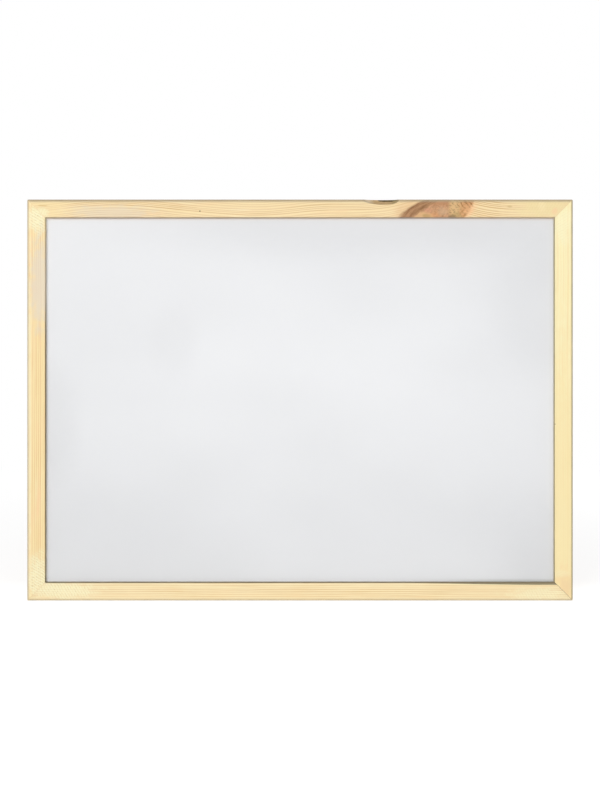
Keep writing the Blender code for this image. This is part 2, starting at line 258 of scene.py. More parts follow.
# The top rail's spike knot is cut lengthwise across its face. Its near side leans to the left on the way
# down, less and less, and its far side bends that way slightly. The cosines turn a distance along the rail
# into one square to a side, and each pair of places is where something fades in or out along the rail.
KNOT_NEAR_START = 138.2
KNOT_NEAR_LEAN = 2.28
KNOT_NEAR_BEND = 0.042
KNOT_NEAR_COSINE = 0.6
KNOT_FAR_START = 191.5
KNOT_FAR_BEND = 0.028
KNOT_FAR_COSINE = 0.915
KNOT_GRAIN_SLOPE = 1.328
KNOT_GRAIN_COSINE = 0.602
HEART_WIDTH = 10.6
HEART_NARROWS_FROM = 12.0
SCALES_FROM = (161.0, 168.0)
SAPWOOD_FROM = (174.0, 182.0)
TICKS_FROM = (170.5, 174.5)
TICKS_TO = (187.0, 191.0)
HALO_FROM = (98.0, 112.0)
HALO_TO = (150.0, 160.0)
RIM_FROM = (170.0, 180.0)
FLESH_STAINS = [
    ((139.0, 18.4), (5.2, 2.0), (184, 146, 88), 0.65),
    ((148.5, 17.5), (5.5, 4.5), (218, 156, 102), 0.55),
    ((141.5, 12.5), (5.5, 3.2), (206, 144, 114), 0.5),
    ((157.0, 14.0), (6.0, 4.5), (198, 164, 130), 0.5),
]
SAPWOOD_GLOW = [((187.5, 11.0), (7, 6), (246, 192, 142), 0.6)]
SAPWOOD_STAINS = [((181.0, 6.5), (6.0, 5.0), (192, 140, 88), 0.4)]
OLIVE_STAINS = [
    ((173.4, 16.5), (5.5, 3.5), (178, 148, 94), 0.55),
    ((166.9, 19.2), (3.6, 1.8), (126, 100, 62), 0.75),
]


def spike_knot(spot, colour, relief, roughness):
    """The knot: a reddish heart on its near side, brown flesh, bark scales, then tan sapwood with ticks."""
    along, inset, depth = spot
    wobble = cloud(spot, (7, 4, 7), 3.0, 5.0)
    near = along - KNOT_NEAR_START + inset * KNOT_NEAR_LEAN - inset * inset * KNOT_NEAR_BEND
    near = near * KNOT_NEAR_COSINE + wobble * 0.9
    far = KNOT_FAR_START - inset * inset * KNOT_FAR_BEND - along
    far = far * KNOT_FAR_COSINE + wobble * 1.6
    knot = ease(near, -2.0, 1.4) * ease(far, -1.2, 2.4)
    down = (inset - along * KNOT_GRAIN_SLOPE) * KNOT_GRAIN_COSINE
    streak = cloud((down, near, depth), (9, 0.9, 2), 4.0)
    swirl = cloud((down, near, depth), (13, 2.4, 4), 3.0, 6.0)
    rising = (along * 0.5 - inset * 0.87, along * 0.87 + inset * 0.5, depth)
    rising = cloud(rising, (8, 2.4, 4), 3.0, 4.0) + streak * 0.3
    mottle = cloud(spot, (2.2, 1.5, 2.0), 3.0, 7.3)
    flesh = blend(paint(218, 168, 124), paint(162, 116, 76), ease(rising + mottle * 0.5, -0.9, 1.2))
    flesh = blend(flesh, paint(184, 130, 88), (1.0 - ease(inset, 3.5, 9.0)) * 0.7)

    # reddish heart along the near side, darkest at its edges, and the pale mound under it
    low = (inset - HEART_NARROWS_FROM).maths("MAXIMUM", 0.0)
    inner = near - (HEART_WIDTH - low * 0.25)
    heart = 1.0 - ease(inner + wobble * 0.8 + swirl * 1.2, -2.6, 2.2)
    near_rim = ease(near, 0.0, 1.2) * (1.0 - ease(near, 2.0, 4.4))
    inner_rim = ease(inner, -5.0, -2.4) * (1.0 - ease(inner, -1.0, 1.4))
    dark = blend(paint(182, 136, 94), paint(138, 96, 58), ease(swirl + streak * 0.6, -0.6, 1.0))
    dark_rims = (near_rim + inner_rim) * ease(swirl + streak, -0.9, 0.6)
    dark = blend(dark, paint(128, 88, 50), dark_rims * 0.65)
    flesh = blend(flesh, dark, heart)
    mound_end = 140.0 + (inset - HEART_NARROWS_FROM) * 1.2 - along + wobble * 1.5
    mound = ease(inner, 0.0, 1.6) * ease(mound_end, -1.0, 3.0)
    flesh = blend(flesh, paint(220, 178, 126), mound * ease(inset, 12.5, 16.0) * 0.85)
    flesh = stained(spot, flesh, FLESH_STAINS, 0.7)

    # bark scales, then tan sapwood with dark ticks on the far side
    scaly = ease(along + wobble * 2.6, *SCALES_FROM)
    scale_run = along * 0.95 - inset * 0.8 + wobble * 3.6 + swirl * 2.0
    scale_line = ease((scale_run * 1.3).maths("SINE") * 0.6 + streak * 0.7 + mottle * 1.1, -0.3, 1.4)
    bark = blend(paint(217, 180, 127), paint(150, 112, 64), scale_line * 0.75)
    bark = blend(bark, paint(236, 208, 148), ease(cloud(spot, (3, 2, 2), 2.0, 1.2), 0.2, 1.1) * 0.6)
    flesh = blend(flesh, bark, scaly)
    sap = ease(along + inset * 0.2 + wobble * 2.4, *SAPWOOD_FROM)
    tan = blend(paint(224, 174, 122), paint(196, 142, 88), ease(swirl + mottle * 0.6, -0.8, 0.7))
    tan = stained(spot, tan, SAPWOOD_GLOW, 0.6)
    flesh = blend(flesh, tan, sap)
    ticked = ease(along, *TICKS_FROM) * (1.0 - ease(along - inset * 0.3, *TICKS_TO))
    ticked = ticked * (0.95 - ease(inset, 5.0, 10.0) * 0.65) * ease(mottle + wobble, -1.1, 0.1)
    tick = ease((along * 1.2 - inset * 0.9 + wobble * 3.2).maths("SINE") + mottle * 0.9, -0.1, 1.2)
    flesh = stained(spot, flesh, SAPWOOD_STAINS, 0.8)
    flesh = blend(flesh, paint(158, 106, 54), tick * ticked)
    flesh = stained(spot, flesh, OLIVE_STAINS, 0.8)

    # the wood on both sides of the knot has taken some of its colour
    halo = ease(along, *HALO_FROM) * ease(near, -19.0, -2.0) * (1.0 - ease(along, *HALO_TO))
    colour = blend(colour, paint(230, 189, 140), halo * (0.62 + streak * 0.25))
    rim = ease(far, -7.5, 0.5) * ease(along, *RIM_FROM)
    colour = blend(colour, paint(247, 196, 146), rim * (0.35 + ease(inset, 5.0, 11.0) * 0.35))
    colour = blend(colour, flesh, knot)
    relief = relief * (1.0 - knot * 0.6)
    relief = relief + knot * (streak * 0.03 - heart * 0.05 - scaly * scale_line * 0.03)
    return colour, relief, roughness - knot * 0.1


# The wane is the hollow on the top rail's front arris, where the plank ran out at the log's own outside. It
# is part of an ellipsoid whose deepest place is a little to the right of its middle.
WANE_MIDDLE = 89.0
WANE_HALF_LENGTH = 19.5
WANE_LEAN = 0.15
WANE_DEPTH = 4.2
WANE_DROP = 5.8
WANE_PALE_TO = (75.0, 83.0)
WANE_OLIVE_FROM = (99.0, 105.0)


def knot_and_wane(spot, colour, relief, roughness):
    """The top rail's spike knot, and the torn grain in its waney hollow."""
    colour, relief, roughness = spike_knot(spot, colour, relief, roughness)
    along, inset, depth = spot

    # bulge tells how far a point lies out from the hollow's own surface, which is at 1
    share = (along - WANE_MIDDLE) / WANE_HALF_LENGTH
    square = (1.0 + 4 * WANE_LEAN * WANE_LEAN) - share * (4 * WANE_LEAN)
    share = (1.0 - square.maths("SQRT")) / (2 * WANE_LEAN)
    back, down = depth / WANE_DEPTH, inset / WANE_DROP
    bulge = share * share + back * back + down * down
    hollow = 1.0 - ease(bulge, 1.0, 1.2)
    rough_grain = cloud(spot, (14, 0.8, 0.8), 3.0, 9.0)
    torn = blend(paint(206, 176, 132), paint(162, 132, 92), ease(rough_grain, -0.6, 1.0))
    torn = blend(torn, paint(208, 190, 160), 1.0 - ease(along + rough_grain * 1.5, *WANE_PALE_TO))
    torn = blend(torn, paint(154, 140, 96), ease(along, *WANE_OLIVE_FROM) * 0.6)
    colour = blend(colour, torn, hollow)
    relief = relief * (1.0 - hollow) + hollow * rough_grain * 0.09
    return colour, relief, roughness + hollow * 0.22


ARCH_MIDDLE = -203.0
ARCH_REACH = 95.0
ARCH_HEIGHT = 12.0
ARCH_FLATTENS = (-60.0, 40.0)
DETOUR_MIDDLE = 152.0
DETOUR_REACH = 44.0
DETOUR_HEIGHT = 14.0


def top_rail_bow(along):
    """How far the top rail's rings swing down the face: an arch at its left end, a detour at the knot."""
    left = (along - ARCH_MIDDLE) / ARCH_REACH
    right = (along - DETOUR_MIDDLE) / DETOUR_REACH
    arch = ARCH_HEIGHT * (1.0 - (left * left * -1.0).maths("EXPONENT"))
    detour = DETOUR_HEIGHT * (right * right * -1.0).maths("EXPONENT")
    return arch * (1.0 - ease(along, *ARCH_FLATTENS) * 0.6) - detour


# Each plank has its pith's inset and depth, the width of a ring, and its tones. Firm patches have darker
# rings: middle, half size, how much. Pale ones are paler patches, most where sanding took the tone off and
# some a painted sheen: middle, half size, new tone, its share, and the share of sanding marks. wall and edge
# are the tones of shade painted on the lip's wall and on the outer arris, each followed by its strength;
# then come where the wall's shade fades along the rail, and how far in the arris's shade reaches.
PALE = (255, 249, 208)
# A paler, greyer tone, painted on as sheen.
PAINTED_SHEEN = (231, 220, 205)
PAST_THE_END = (900.0, 901.0)
# How far the wall's painted shade spreads on to the face of the top and bottom rails, and how much more
# towards the bottom rail's right end.
TOP_RAIL_DROOP = 0.3
BOTTOM_RAIL_DROOP = 0.45
BOTTOM_RAIL_SHADE_WIDENS = 1.8
SHADE_WIDENS_OVER = (110.0, 265.0)
WOODS = {
    "top_rail": {
        "seed": 0.0, "pith": (-58.0, 26.0), "ring": 2.2, "sway": 1.0, "figure": 0.95,
        "early": (250, 227, 180), "late": (222, 185, 130),
        "blush": (247, 212, 163), "light": (255, 240, 206),
        "firm": [((203, 11), (22, 16), 0.9), ((-200, 9), (70, 14), 0.5), ((272, 9), (36, 20), -0.6)],
        "wall": (180, 160, 142), "wall_shade": 0.65, "wall_shade_fades": PAST_THE_END,
        "edge": (172, 156, 128), "edge_shade": 0.85, "edge_shade_reach": (0.9, 4.4),
        "pale": [
            ((-278, 8), (26, 16), (254, 231, 177), 0.6, 0.0),
            ((-284, 15), (7, 6), PALE, 0.6, 0.5),
            ((-282.5, 7), (6, 1.1), (222, 186, 118), 0.5, 0.0),
            # a paler, greyer patch near the inner edge, painted on as sheen
            ((-206, 15), (46, 9), (233, 219, 196), 0.55, 0.0),
            ((230.5, 8), (3, 1.3), (208, 172, 112), 0.55, 0.0),
            ((270, 8), (32, 15), (244, 223, 168), 0.8, 0.15),
            ((266, 7), (4, 6), (253, 232, 184), 0.5, 0.3),
            ((280, 13), (3.5, 4), (250, 208, 160), 0.45, 0.0),
        ],
        "specks": [((-110, 13), 0.9)],
    },
    "bottom_rail": {
        "seed": 4.0, "pith": (-70.0, 22.0), "ring": 2.3, "sway": 1.3, "figure": 0.8,
        "early": (252, 233, 189), "late": (230, 196, 138),
        "blush": (248, 219, 168), "light": (255, 243, 206),
        "firm": [((0, 8), (160, 9), 0.3)],
        "wall": (102, 96, 76), "wall_shade": 0.8, "wall_shade_fades": PAST_THE_END,
        "edge": (188, 176, 148), "edge_shade": 0.75, "edge_shade_reach": (0.7, 2.8),
        "pale": [((-262, 11), (38, 9), PALE, 0.65, 0.8), ((262, 7), (34, 7), PALE, 0.5, 0.5)],
        "specks": [],
    },
    "left_stile": {
        "seed": 9.0, "pith": (-64.0, 20.0), "ring": 2.2, "sway": 1.2, "figure": 0.9,
        "early": (254, 232, 178), "late": (234, 192, 132),
        "blush": (254, 214, 166), "light": (255, 242, 204),
        "firm": [],
        "wall": (98, 82, 64), "wall_shade": 0.75, "wall_shade_fades": (296.0, 338.0),
        "edge": (206, 192, 162), "edge_shade": 0.9, "edge_shade_reach": (1.2, 2.4),
        "pale": [
            ((420, 12), (17, 10), PALE, 0.75, 1.0),
            ((25, 12), (26, 11), PALE, 0.7, 1.0),
            # a paler, greyer patch near the top end, painted on as sheen
            ((350, 15), (52, 12), PAINTED_SHEEN, 0.66, 0.0),
            ((200, 3.0), (240, 1.3), (255, 246, 210), 0.6, 0.0),
        ],
        "specks": [],
    },
    "right_stile": {
        "seed": 14.0, "pith": (-90.0, 30.0), "ring": 2.7, "sway": 1.6, "figure": 0.55,
        "early": (255, 243, 194), "late": (244, 214, 152),
        "blush": (255, 242, 184), "light": (255, 249, 210),
        "firm": [],
        "wall": (158, 146, 118), "wall_shade": 0.6, "wall_shade_fades": PAST_THE_END,
        "edge": (164, 150, 118), "edge_shade": 0.9, "edge_shade_reach": (1.2, 2.6),
        "pale": [
            ((413, 12), (24, 10), PALE, 0.5, 0.35),
            ((100, 10), (190, 30), (253, 232, 176), 0.7, 0.0),
            ((18, 9), (20, 10), (252, 220, 166), 0.55, 0.0),
            ((30, 12), (4, 9), PALE, 0.28, 0.4),
            ((14, 8), (12, 7), (244, 214, 168), 0.5, 0.0),
        ],
        "specks": [((194, 19.6), 0.5), ((410, 1.0), 0.8)],
    },
}
for name, wood in WOODS.items():
    finish, (x, y, z) = open_finish("pine_" + name)
    depth = y + RAIL_DEPTH / 2
    if name == "top_rail":
        pine((x, BOARD_HEIGHT - z, depth), wood, top_rail_bow(x), knot_and_wane, TOP_RAIL_DROOP)
    elif name == "bottom_rail":
        # the wall's painted shade widens on to the face towards the bottom rail's right end
        widening = ease(x, *SHADE_WIDENS_OVER) * BOTTOM_RAIL_SHADE_WIDENS
        pine((x, z, depth), wood, droop=BOTTOM_RAIL_DROOP + widening)
    elif name == "left_stile":
        pine((z, x + BOARD_WIDTH / 2, depth), wood)
    else:
        pine((z, BOARD_WIDTH / 2 - x, depth), wood)
    dress(solids[name], finish)

# Glue fills the mitres: a film between each pair of cut ends, flush with the wood and taken up into it, so
# it hardly shows. The bottom right joint has opened a hair and holds dust, and its line is dark. The film's
# outline follows the rails' section, each point given in from the outer edge and back from the face.
GLUE_FILM = 0.27
REBATE_INSET = 14.0
OPEN_JOINT_FROM = (270.0, 276.0)
OPEN_JOINT_UP_TO = (24.0, 30.0)
GLUE_OUTLINE = [
    (0.8, 1.1), (1.0, 0.55), (1.6, 0.12),
    (RAIL_FACE - 0.9, 0.12), (RAIL_FACE - 0.25, 0.6), (RAIL_FACE - 0.15, 1.0),
    (RAIL_FACE - 0.15, LIP_THICKNESS - 0.2), (REBATE_INSET, LIP_THICKNESS + 0.2),
    (REBATE_INSET - 0.2, RAIL_DEPTH - 0.8), (REBATE_INSET - 0.8, RAIL_DEPTH - 0.2),
    (1.0, RAIL_DEPTH - 0.2), (0.7, RAIL_DEPTH - 1.0),
]


def grown(name, mesh, tree, sizes, material):
    """What a tree of geometry nodes makes of a mesh, as a plain object that rides on the board."""
    seed = bpy.data.objects.new(name + "_seed", mesh)
    bpy.context.scene.collection.objects.link(seed)
    step = seed.modifiers.new("grow", "NODES")
    step.node_group = tree
    for item in tree.interface.items_tree:
        if item.item_type == "SOCKET" and item.in_out == "INPUT" and item.name in sizes:
            step[item.identifier] = sizes[item.name]
    bpy.context.view_layer.update()
    graph = bpy.context.evaluated_depsgraph_get()
    made = bpy.data.objects.new(name, bpy.data.meshes.new_from_object(seed.evaluated_get(graph)))
    bpy.data.objects.remove(seed)
    made.data.name = name
    dress(made, material)
    bpy.context.scene.collection.objects.link(made)
    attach(made, "root")


def open_growth(name, sizes):
    """A new tree of geometry nodes, and a Layer for each of its inputs: the mesh first, then the sizes."""
    tree = bpy.data.node_groups.new(name, "GeometryNodeTree")
    tree.interface.new_socket("Mesh", in_out="INPUT", socket_type="NodeSocketGeometry")
    for size in sizes:
        tree.interface.new_socket(size, in_out="INPUT", socket_type="NodeSocketFloat")
    tree.interface.new_socket("Mesh", in_out="OUTPUT", socket_type="NodeSocketGeometry")
    opening = tree.nodes.new("NodeGroupInput")
    return tree, [Layer(tree, opening.outputs[socket]) for socket in ("Mesh", *sizes)]


def close_growth(pieces, material):
    """Ends the tree: the pieces made real, in their finish."""
    real = pieces.node("GeometryNodeRealizeInstances", None, {"Geometry": pieces})
    dressed = real.node("GeometryNodeSetMaterial", None, {"Geometry": real, "Material": material})
    dressed.node("NodeGroupOutput", None, {0: dressed})


finish, (x, y, z) = open_finish("mitre_glue")
spot = (x, z, y)
opened = ease(x, *OPEN_JOINT_FROM) * (1.0 - ease(z, *OPEN_JOINT_UP_TO))
colour = blend(paint(240, 216, 168), paint(206, 172, 116), ease(cloud(spot, (3, 3, 3)), 0.0, 1.2) * 0.5)
colour = blend(colour, paint(104, 84, 56), opened * 0.9)
relief = cloud(spot, (0.8, 0.8, 0.8)) * 0.01
close_finish(colour, 0.5 + opened * 0.3, relief, **{"IOR": 1.45, "Specular IOR Level": 0.3})

# one film is drawn along X at the origin, and the tree sets a copy at each corner, turned towards the middle
film = bpy.data.meshes.new("glue_film")
outline = [(inset * math.sqrt(2) / 1000, depth / 1000) for inset, depth in GLUE_OUTLINE]
count = len(outline)
sides = [(*point, side * GLUE_FILM / 2000) for side in (-1, 1) for point in outline]
faces = [tuple(range(count)), tuple(range(2 * count - 1, count - 1, -1))]
faces += [(i, i + count, (i + 1) % count + count, (i + 1) % count) for i in range(count)]
film.from_pydata(sides, [], faces)
tree, (plate, width, height) = open_growth("glue_lines", ("Board width", "Board height"))
grid = {"Size X": width, "Size Y": height, "Vertices X": 2, "Vertices Y": 2}
corners = plate.node("GeometryNodeMeshGrid", None, grid)
upright = {"Geometry": corners, "Rotation": (math.radians(90), 0.0, 0.0)}
corners = corners.node("GeometryNodeTransform", None, upright)
place = corners.node("GeometryNodeInputPosition")
inwards = place.node("VectorMath", {"operation": "SIGN"}, {0: place})
inwards = inwards.node("VectorMath", {"operation": "SCALE"}, {0: inwards, "Scale": -1.0})
facing = {"axis": "X", "pivot_axis": "Y"}
turn = inwards.node("FunctionNodeAlignRotationToVector", facing, {"Vector": inwards})
copies = {"Points": corners, "Instance": plate, "Rotation": turn}
lines = plate.node("GeometryNodeInstanceOnPoints", None, copies)
rise = height.node("CombineXYZ", None, {"Y": -RAIL_DEPTH / 2000, "Z": height * 0.5})
moved = {"Instances": lines, "Translation": rise, "Local Space": False}
lines = lines.node("GeometryNodeTranslateInstances", None, moved)
close_growth(lines, finish)
sizes = {"Board width": BOARD_WIDTH / 1000, "Board height": BOARD_HEIGHT / 1000}
grown("mitre_glue", film, tree, sizes, finish)

# A strip of inner bark is left in the wane, along the arris where the log's own outside was. It is a dark,
# scaly flake, under a millimetre thick, and thins out into the torn wood round it. Its span is in the wane's
# half lengths from its middle, and its arc in radians from its back.
BARK_SPAN = (-0.3, 0.96)
BARK_ARC = (0.02, 0.45)
BARK_THICKNESS = 0.7
BARK_SUNK = 0.2
BARK_STEPS = (90, 12)
BARK_SEED = 3.0
BARK_OLIVE_FROM = (100.0, 106.0)


def hollow_point(u, angle, lift=0.0):
    """A point of the wane's hollow: u runs -1 to 1 along the rail, angle from its back (0) to its face."""
    reach = math.sqrt(max(0.0, 1.0 - u * u))
    deep = WANE_DEPTH * reach * math.cos(angle)
    drop = WANE_DROP * reach * math.sin(angle)
    size = max(1e-6, math.hypot(deep, drop))
    deep, drop = deep * (1 - lift / size), drop * (1 - lift / size)
    across = WANE_MIDDLE + WANE_HALF_LENGTH * (u + WANE_LEAN * (1 - u * u))
    return Vector((across, deep - RAIL_DEPTH / 2, BOARD_HEIGHT - drop)) / 1000


def flake(name, finish):
    """A closed, ragged flake that lies in the hollow, thick in the middle and thin at its edges."""
    columns, rows = BARK_STEPS
    outer, inner = [], []
    for i in range(columns + 1):
        for j in range(rows + 1):
            s, t = i / columns, j / rows
            taper = math.sin(math.pi * s)
            u = BARK_SPAN[0] + (BARK_SPAN[1] - BARK_SPAN[0]) * s
            ragged = 1 + 0.25 * noise.noise(Vector((u * 9, BARK_SEED, 0)))
            arc = (BARK_ARC[1] - BARK_ARC[0]) * t * ragged * (0.35 + 0.65 * taper ** 0.6)
            angle = BARK_ARC[0] + arc
            scaly = 0.65 + 0.35 * noise.noise(Vector((u * 40, angle * 9, BARK_SEED)))
            swell = taper ** 0.5 * min(1.0, (1 - t) * 3) * scaly
            outer.append(hollow_point(u, angle, BARK_THICKNESS * max(0.0, swell)))
            inner.append(hollow_point(u, angle, -BARK_SUNK))
    span = rows + 1
    total = len(outer)
    faces = []
    for i in range(columns):
        for j in range(rows):
            a, b, c, d = i * span + j, (i + 1) * span + j, (i + 1) * span + j + 1, i * span + j + 1
            faces += [(a, d, c, b), (a + total, b + total, c + total, d + total)]
    rim = [i * span for i in range(columns + 1)] + [columns * span + j for j in range(1, rows + 1)]
    rim += [i * span + rows for i in range(columns - 1, -1, -1)] + [j for j in range(rows - 1, 0, -1)]
    faces += [(a, b, b + total, a + total) for a, b in zip(rim, rim[1:] + rim[:1])]
    mesh = bpy.data.meshes.new(name)
    mesh.from_pydata(outer + inner, [], faces)
    shell = bmesh.new()
    shell.from_mesh(mesh)
    bmesh.ops.recalc_face_normals(shell, faces=shell.faces)
    shell.to_mesh(mesh)
    shell.free()
    mesh.materials.append(finish)
    piece = bpy.data.objects.new(name, mesh)
    bpy.context.scene.collection.objects.link(piece)
    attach(piece, "root")


finish, (x, y, z) = open_finish("inner_bark")
spot = (x, z, y)
scales = cloud(spot, (4.0, 0.7, 0.7), 3.0)
colour = blend(paint(124, 108, 78), paint(80, 68, 48), ease(scales, -0.6, 0.9))
colour = blend(colour, paint(154, 136, 98), ease(cloud(spot, (7, 2, 2), 2.0, 3.0), 0.3, 1.1) * 0.7)
colour = blend(colour, paint(142, 136, 92), ease(x, *BARK_OLIVE_FROM) * 0.6)
close_finish(colour, 0.85 - scales * 0.04, scales * 0.12, **{"IOR": 1.4, "Specular IOR Level": 0.2})
flake("bark_strip", finish)

# Below the bark the grain is torn, and slivers of pine stand up in the hollow, each a few millimetres long.
# They lie nearly along the rail, as the fibres do, at random places on a bed that follows the hollow. Their
# turns are the least and the greatest about X, Y and Z, in radians.
SLIVER_LENGTH = 4.2
SLIVER_RADIUS = 0.13
SLIVER_TIP = 0.01
SLIVER_SIDES = 5
SLIVER_TURNS = ((-0.22, 1.35, -0.2), (0.22, 1.62, 0.2))
SLIVER_SCALES = (0.35, 1.0)
SLIVERS_PER_SQUARE_METRE = 450000.0
BED_SPAN = 0.8
BED_ARC = (0.5, 1.25)
BED_COLUMNS = 24
BED_ROWS = 6
SPREAD_SEED = 11
TURN_SEED = 5
SCALE_SEED = 8
finish, (x, y, z) = open_finish("torn_grain")
spot = (x, z, y)
colour = blend(paint(230, 198, 152), paint(194, 160, 116), ease(cloud(spot, (8, 1, 1), 2.0), -0.4, 0.9))
relief = cloud(spot, (3, 0.2, 0.2)) * 0.02
close_finish(colour, 0.75 + cloud(spot, (3, 0.5, 0.5)) * 0.05, relief, **{"IOR": 1.4})

bed_points = []
for i in range(BED_COLUMNS + 1):
    for j in range(BED_ROWS + 1):
        u = -BED_SPAN + 2 * BED_SPAN * i / BED_COLUMNS
        angle = BED_ARC[0] + (BED_ARC[1] - BED_ARC[0]) * j / BED_ROWS
        bed_points.append(hollow_point(u, angle))
span = BED_ROWS + 1
starts = [i * span + j for i in range(BED_COLUMNS) for j in range(BED_ROWS)]
bed_faces = [(a, a + 1, a + span + 1, a + span) for a in starts]
bed = bpy.data.meshes.new("hollow_bed")
bed.from_pydata(bed_points, [], bed_faces)
named = ("Sliver length", "Sliver radius", "Slivers per square metre")
tree, (hollow, length, radius, number) = open_growth("slivers", named)
scattered = {"Mesh": hollow, "Density": number, "Seed": SPREAD_SEED}
where = hollow.node("GeometryNodeDistributePointsOnFaces", None, scattered)
pointed = {"Radius Bottom": radius, "Radius Top": SLIVER_TIP / 1000, "Depth": length}
pointed["Vertices"] = SLIVER_SIDES
spike = hollow.node("GeometryNodeMeshCone", None, pointed)
turns = {0: SLIVER_TURNS[0], 1: SLIVER_TURNS[1], "Seed": TURN_SEED}
lie = hollow.node("FunctionNodeRandomValue", {"data_type": "FLOAT_VECTOR"}, turns)
growths = {2: SLIVER_SCALES[0], 3: SLIVER_SCALES[1], "Seed": SCALE_SEED}
grow = hollow.node("FunctionNodeRandomValue", {"data_type": "FLOAT"}, growths, 1)
turned = lie.node("FunctionNodeEulerToRotation", None, {0: lie})
copies = {"Points": where, "Instance": spike, "Rotation": turned, "Scale": grow}
spikes = where.node("GeometryNodeInstanceOnPoints", None, copies)
close_growth(spikes, finish)
sizes = dict(zip(named, (SLIVER_LENGTH / 1000, SLIVER_RADIUS / 1000, SLIVERS_PER_SQUARE_METRE)))
grown("torn_slivers", bed, tree, sizes, finish)

# The writing sheet is steel with a baked white lacquer, satin to the eye, with a slight orange peel and a
# few dust specks. Wiping has left its gloss faintly uneven. Grey patches of painted shade darken it along
# the top, at the sides and in the lower right corner, a painted shadow tinted by the wood lies along its top
# edge under the lip, and a band of painted shade runs along its bottom edge towards the right.
# Grey patches of painted shade: middle, half size, tone, strength.
SHADE_GREY = (206, 207, 209)
PAINTED_SHADE_PATCHES = [
    ((60, 425), (240, 50), SHADE_GREY, 0.36),
    ((272, 325), (55, 75), SHADE_GREY, 0.26),
    ((-278, 190), (34, 66), SHADE_GREY, 0.32),
    ((285, 45), (62, 72), SHADE_GREY, 0.34),
    ((-141, 286), (28, 38), SHADE_GREY, 0.2),
]
# How far the painted shadow under the top lip reaches down the sheet.
TOP_LIP_SHADOW = (0.2, 3.4)
# Where the band of painted shade along the bottom edge runs, along and up the sheet.
LOW_SHADE_ALONG = (110.0, 250.0)
LOW_SHADE_UP_TO = (RAIL_FACE + 0.6, RAIL_FACE + 4.0)
finish, (x, y, z) = open_finish("white_lacquer")
spot = (x, z, y)
wiped = cloud((x * 0.9 + z * 0.44, z * 0.9 - x * 0.44, y), (160, 26, 60), 3.0)
peel = cloud(spot, (2.6, 2.6, 2.6), 1.0)
dust = ease(cloud(spot, (1.5, 1.5, 1.5), 0.0, 4.4), 1.24, 1.36)
uneven = ease(cloud(spot, (190, 120, 60), 1.0), -0.6, 0.6)
colour = blend(paint(226, 227, 229), paint(222, 223, 225), uneven)
colour = blend(colour, paint(196, 196, 194), dust * 0.5)
# grey patches of painted shade: along the top, at the sides, in the lower right corner and one up on the
# left
colour = stained(spot, colour, PAINTED_SHADE_PATCHES, 0.08)
# painted shadow, with a warm tint of reflected wood, along the top edge under the lip
top_lip_shadow = 1.0 - ease(BOARD_HEIGHT - RAIL_FACE - z, *TOP_LIP_SHADOW)
colour = blend(colour, paint(208, 194, 186), top_lip_shadow * 0.5)
# a grey band of painted shade along the bottom edge, from the middle to the right end
settled = ease(x, *LOW_SHADE_ALONG) * (1.0 - ease(z, *LOW_SHADE_UP_TO))
colour = blend(colour, paint(186, 188, 186), settled * 0.7)
close_finish(colour, 0.37 + wiped * 0.012, peel * 0.0012 + dust * 0.01, **{"IOR": 1.5})
dress(solids["writing_sheet"], finish)

# The back is 3 mm hardboard, wood fibre pressed wet against a wire screen that left its mesh on this face.
# It is glued to the sheet and shows brown fibres, darker knots of fibre and the screen's squares.
SCREEN = 1.5
finish, (x, y, z) = open_finish("hardboard")
spot = (x, z, y)
weave = (x * (math.pi / SCREEN)).maths("SINE") * (z * (math.pi / SCREEN)).maths("SINE")
dimple = weave.maths("ABSOLUTE").maths("POWER", 0.6)
fluff = cloud(spot, (3.0, 0.9, 0.9), 4.0)
cross_fluff = cloud((z, x, y), (3.4, 0.8, 0.9), 4.0, 3.0)
stain = cloud(spot, (70, 50, 20), 3.0)
colour = blend(paint(150, 114, 80), paint(122, 88, 60), ease(fluff + cross_fluff, -1.0, 1.4))
colour = blend(colour, paint(168, 132, 94), ease(stain, -0.2, 1.2) * 0.5)
colour = blend(colour, paint(78, 54, 36), ease(cloud(spot, (1.6, 0.7, 0.7), 2.0, 6.0), 0.95, 1.3) * 0.8)
colour = blend(colour, paint(96, 68, 46), (1.0 - dimple) * 0.55)
close_finish(colour, 0.78 + fluff * 0.04, dimple * 0.12 + (fluff + cross_fluff) * 0.02, **{"IOR": 1.45})
dress(solids["hardboard_back"], finish)

# The framing points, V nails, hangers and their nails are pressed or drawn steel with a bright zinc plate.
# It is faintly clouded, blue and straw by turns, and scratched where the piece was driven home.
finish, (x, y, z) = open_finish("zinc_plate")
spot = (x, z, y)
haze = cloud(spot, (4.0, 4.0, 4.0), 3.0)
grit = cloud(spot, (0.5, 0.5, 0.5), 2.0, 2.0)
scratch = ease(cloud(spot, (0.12, 3.0, 1.5), 2.0, 5.0), 0.8, 1.3)
colour = blend(paint(170, 174, 180), paint(188, 180, 162), ease(haze, -0.3, 1.0) * 0.7)
colour = blend(colour, paint(132, 134, 138), ease(grit, 0.3, 1.3) * 0.5)
colour = blend(colour, paint(212, 212, 210), scratch * 0.5)
close_finish(colour, 0.38 + haze * 0.08 + grit * 0.04, grit * 0.006 - scratch * 0.008, **{"Metallic": 1.0})
for name, solid in solids.items():
    if name.startswith(("framing_point_", "v_nail_", "sawtooth_hanger_", "hanger_nail_")):
        dress(solid, finish)

# The board stands on a pale floor in a white studio. Camera and mirror rays see the studio as white, and it
# lights the board more dimly than that. Near the board the floor shows its light and the board's shadow, and
# further off it fades to plain white. Sizes from here on are in metres.
WORLD_LEVEL = 0.27
FLOOR_HALF = 8.0
FLOOR_ALBEDO = 0.8
FLOOR_GLOW_FRONT = 0.64
FLOOR_GLOW_BEHIND = 0.5
FLOOR_BEHIND = (-0.02, 0.12)
FLOOR_FADE = (0.6, 2.2)
WHITE = (1.0, 1.0, 1.0, 1.0)


def grey(level):
    """A grey in linear light."""
    return (level, level, level, 1.0)


